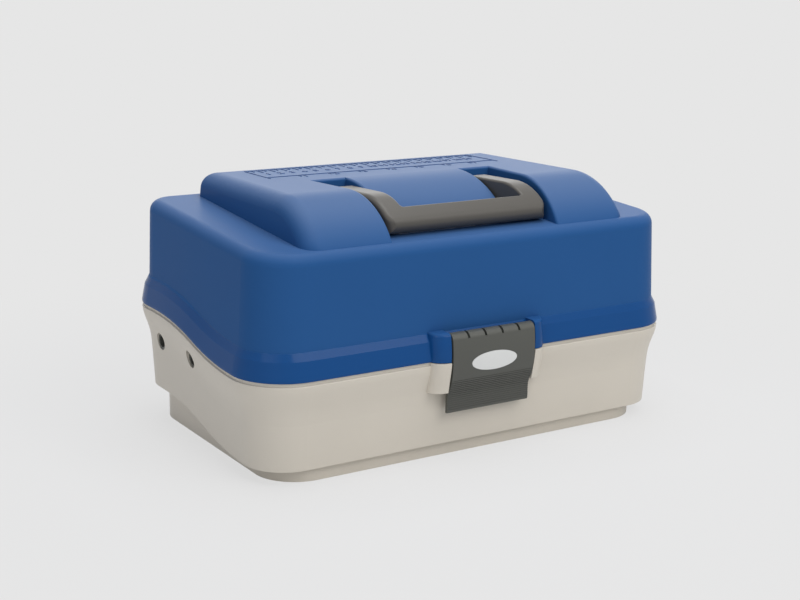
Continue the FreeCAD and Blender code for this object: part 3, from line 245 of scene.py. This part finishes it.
def bumped(tree, height, strength, depth, below=None):
    """Bump of a depth in metres on top of another one."""
    node = tree.nodes.new("ShaderNodeBump")
    node.inputs["Strength"].default_value = strength
    node.inputs["Distance"].default_value = depth
    tree.links.new(height, node.inputs["Height"])
    if below is not None:
        tree.links.new(below.outputs["Normal"], node.inputs["Normal"])
    return node


def separated(tree, vector):
    """The three parts of a vector."""
    node = tree.nodes.new("ShaderNodeSeparateXYZ")
    tree.links.new(vector, node.inputs["Vector"])
    return node.outputs


def lay_colour(material, factor, colour):
    """Lay a colour over the one that a material has so far, by a factor."""
    tree = material.node_tree
    base = tree.nodes["Principled BSDF"].inputs["Base Color"]
    tint = tree.nodes.new("ShaderNodeMix")
    tint.data_type = "RGBA"
    tint.inputs["B"].default_value = colour
    tree.links.new(factor, tint.inputs["Factor"])
    tree.links.new(base.links[0].from_socket, tint.inputs["A"])
    tree.links.new(tint.outputs["Result"], base)


def plastic(name, colour, roughness, grain=GRAIN_DEPTH, variation=0.05, specular=0.5):
    """Moulded plastic: fine grain, slight waves of the wall, faint flow marks in colour and gloss."""
    material = bpy.data.materials.new(name)
    material.use_nodes = True
    tree = material.node_tree
    shader = tree.nodes["Principled BSDF"]
    shader.inputs["Specular IOR Level"].default_value = specular
    place = tree.nodes.new("ShaderNodeTexCoord")
    flow = noise(tree, FLOW_SIZE, FLOW_DETAIL, place)
    tint = tree.nodes.new("ShaderNodeMix")
    tint.data_type = "RGBA"
    tint.inputs["A"].default_value = [part * (1 - variation) for part in colour[:3]] + [1]
    tint.inputs["B"].default_value = [min(1, part * (1 + variation)) for part in colour[:3]] + [1]
    gloss = tree.nodes.new("ShaderNodeMapRange")
    gloss.inputs["To Min"].default_value = roughness - GLOSS_SPREAD
    gloss.inputs["To Max"].default_value = roughness + GLOSS_SPREAD
    waves = bumped(tree, noise(tree, WAVE_SIZE, WAVE_DETAIL, place), WAVE_STRENGTH, WAVE_DEPTH)
    fine = bumped(tree, noise(tree, GRAIN_SIZE, GRAIN_DETAIL, place), GRAIN_STRENGTH, grain, waves)
    fine.name = "grain"
    tree.links.new(flow, tint.inputs["Factor"])
    tree.links.new(flow, gloss.inputs["Value"])
    tree.links.new(tint.outputs["Result"], shader.inputs["Base Color"])
    tree.links.new(gloss.outputs["Result"], shader.inputs["Roughness"])
    tree.links.new(fine.outputs["Normal"], shader.inputs["Normal"])
    return material


def add_bloom(material, pale):
    """Pale tint on the faces that look up, on the highest part only: painted sheen for the light that
    the tops catch.
    """
    tree = material.node_tree
    place = tree.nodes.new("ShaderNodeTexCoord")
    height = separated(tree, place.outputs["Object"])["Z"]
    facing = separated(tree, place.outputs["Normal"])["Z"]
    high = ramp(tree, height, PAINTED_SHEEN_HEIGHTS, (0, 1))
    upward = ramp(tree, facing, PAINTED_SHEEN_FACING, (0, 1))
    lay_colour(material, combined(tree, "MULTIPLY", high, upward), pale)


def add_glossy_band(material, gloss_in_band, colour):
    """Deeper, polished plastic under a line that runs level, climbs and runs level, as the seam does."""
    tree = material.node_tree
    shader = tree.nodes["Principled BSDF"]
    place = tree.nodes.new("ShaderNodeTexCoord")
    split = separated(tree, place.outputs["Object"])
    seam = ramp(tree, split["Y"], SEAM_RISE, SEAM_HEIGHTS)
    above = combined(tree, "SUBTRACT", split["Z"], seam)
    inside = ramp(tree, above, (BAND_HEIGHT - BAND_EDGE, BAND_HEIGHT + BAND_EDGE), (1, 0))
    gloss = tree.nodes.new("ShaderNodeMix")
    gloss.inputs["B"].default_value = gloss_in_band
    tree.links.new(inside, gloss.inputs["Factor"])
    tree.links.new(shader.inputs["Roughness"].links[0].from_socket, gloss.inputs["A"])
    tree.links.new(gloss.outputs["Result"], shader.inputs["Roughness"])
    strength = ramp(tree, inside, (0, 1), (GRAIN_STRENGTH, BAND_GRAIN))
    tree.links.new(strength, tree.nodes["grain"].inputs["Strength"])
    shader.inputs["Coat Roughness"].default_value = gloss_in_band
    tree.links.new(ramp(tree, inside, (0, 1), (0, BAND_COAT)), shader.inputs["Coat Weight"])
    lay_colour(material, inside, colour)


def dress(node, material):
    """Give a CAD node its finish."""
    mesh = nodes[node].data
    mesh.materials.clear()
    mesh.materials.append(material)


def dome_top(y):
    """Height of the nearly level top of the lid's dome."""
    return DOME_HEIGHT - DOME_FALL * (y - DOME_PLACE)


def raised_bar(work, x_from, x_to, y_from, y_to):
    """Low bar with drafted sides on the dome's top."""
    outline = [(x_from, y_from, DRAFT, DRAFT), (x_to, y_from, -DRAFT, DRAFT),
               (x_to, y_to, -DRAFT, -DRAFT), (x_from, y_to, DRAFT, -DRAFT)]
    low = [work.verts.new((x, y, dome_top(y) - SUNK)) for x, y, _, _ in outline]
    high = [work.verts.new((x + in_x, y + in_y, dome_top(y) + RELIEF)) for x, y, in_x, in_y in outline]
    work.faces.new(low[::-1])
    work.faces.new(high)
    for i in range(4):
        j = (i + 1) % 4
        work.faces.new((low[i], low[j], high[j], high[i]))


def raised_mark(work, x, y_from, y_to):
    """Mark one line wide that runs from front to back."""
    raised_bar(work, x - LINE / 2, x + LINE / 2, y_from, y_to)


def raised_numeral(work, text, x, y, height):
    """Raised numeral centred on a place of the dome's top."""
    curve = bpy.data.curves.new("numeral", "FONT")
    curve.body = text
    curve.size = height / DIGIT_SHARE_OF_FONT
    curve.align_x = "CENTER"
    curve.align_y = "CENTER"
    curve.extrude = RELIEF
    curve.offset = DIGIT_THICKER
    holder = bpy.data.objects.new("numeral", curve)
    shape = holder.to_mesh()
    for vert in shape.vertices:
        vert.co += Vector((x, y, dome_top(y + vert.co.y)))
    work.from_mesh(shape)
    holder.to_mesh_clear()
    bpy.data.objects.remove(holder)
    bpy.data.curves.remove(curve)


def add_piece(name, work, material, body):
    """Piece with a material of its own that rides on a body."""
    bmesh.ops.remove_doubles(work, verts=work.verts, dist=SAME_PLACE)
    mesh = bpy.data.meshes.new(name)
    work.to_mesh(mesh)
    work.free()
    mesh.materials.append(material)
    piece = bpy.data.objects.new(name, mesh)
    bpy.context.scene.collection.objects.link(piece)
    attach(piece, body)


def make_ruler(material):
    """Ruler on the lid: centimetres with numerals behind a line, inches in front of it."""
    right = RULER_LEFT + INCH * INCHES
    marks = bmesh.new()
    for y in (RULER_FRONT, RULER_BACK):
        raised_bar(marks, RULER_LEFT, right, y - LINE / 2, y + LINE / 2)
    for x in (RULER_LEFT, right):
        raised_mark(marks, x, RULER_FRONT + LINE, RULER_BACK - LINE)
    cm_end = RULER_BACK - LINE / 2 - CLEAR
    for half_cm in range(1, 2 * CMS + 1):
        length = LONG_MARK if half_cm % 2 == 0 else SHORT_MARK
        raised_mark(marks, RULER_LEFT + CM / 2 * half_cm, cm_end - length, cm_end)
    inch_end = RULER_FRONT - LINE / 2 - CLEAR
    for number in range(INCHES + 1):
        raised_mark(marks, RULER_LEFT + INCH * number, RULER_FRONT - SHORT_MARK, inch_end)
    add_piece("ruler_marks", marks, material, "lid")
    digits = bmesh.new()
    for number in range(1, CMS):
        raised_numeral(digits, str(number), RULER_LEFT + CM * number, CM_DIGIT_Y, CM_DIGIT_HEIGHT)
    for number in range(1, INCHES):
        x = RULER_LEFT + INCH * number + INCH_DIGIT_SHIFT
        raised_numeral(digits, str(number), x, INCH_DIGIT_Y, INCH_DIGIT_HEIGHT)
    add_piece("ruler_digits", digits, material, "lid")


make_camera()
make_world_and_lights()
make_floor()

# Finishes: colour on the screen, roughness, and what differs from plain moulded plastic
blue = plastic("blue_plastic", linear(43, 88, 143), 0.38, specular=0.03)
# Painted sheen: pale blue laid on the lid's highest upward faces, for the light that they catch
add_bloom(blue, linear(86, 112, 153))
add_glossy_band(blue, 0.17, linear(20, 74, 133))
beige = plastic("beige_plastic", linear(212, 205, 192), 0.42, specular=0.4)
taupe = plastic("taupe_plastic", linear(82, 79, 74), 0.38, variation=0.08, specular=0.4)
grey = plastic("grey_plastic", linear(82, 83, 78), 0.42, variation=0.06, specular=0.4)
white = plastic("white_plastic", linear(222, 223, 221), 0.2, grain=POLISHED_DEPTH)
steel = plastic("steel", linear(190, 190, 190), 0.3, grain=POLISHED_DEPTH)
steel.node_tree.nodes["Principled BSDF"].inputs["Metallic"].default_value = 1.0
# The ruler's darker blue is painted shade of its raised marks, and the ruler has no painted sheen
ruler_shaded_blue = plastic("ruler_shaded_plastic", linear(52, 82, 130), 0.4, grain=RULER_DEPTH, specular=0.1)
make_ruler(ruler_shaded_blue)

finishes = {
    "lid_shell": blue,
    "handle": taupe,
    "latch_plate": grey,
    "latch_badge": white,
    "lid_link_left": grey,
    "lid_link_right": grey,
}
for name in nodes:
    if "_arm_" in name:
        dress(name, grey)
    elif "pin" in name or "rivets" in name:
        dress(name, steel)
    else:
        dress(name, finishes.get(name, beige))
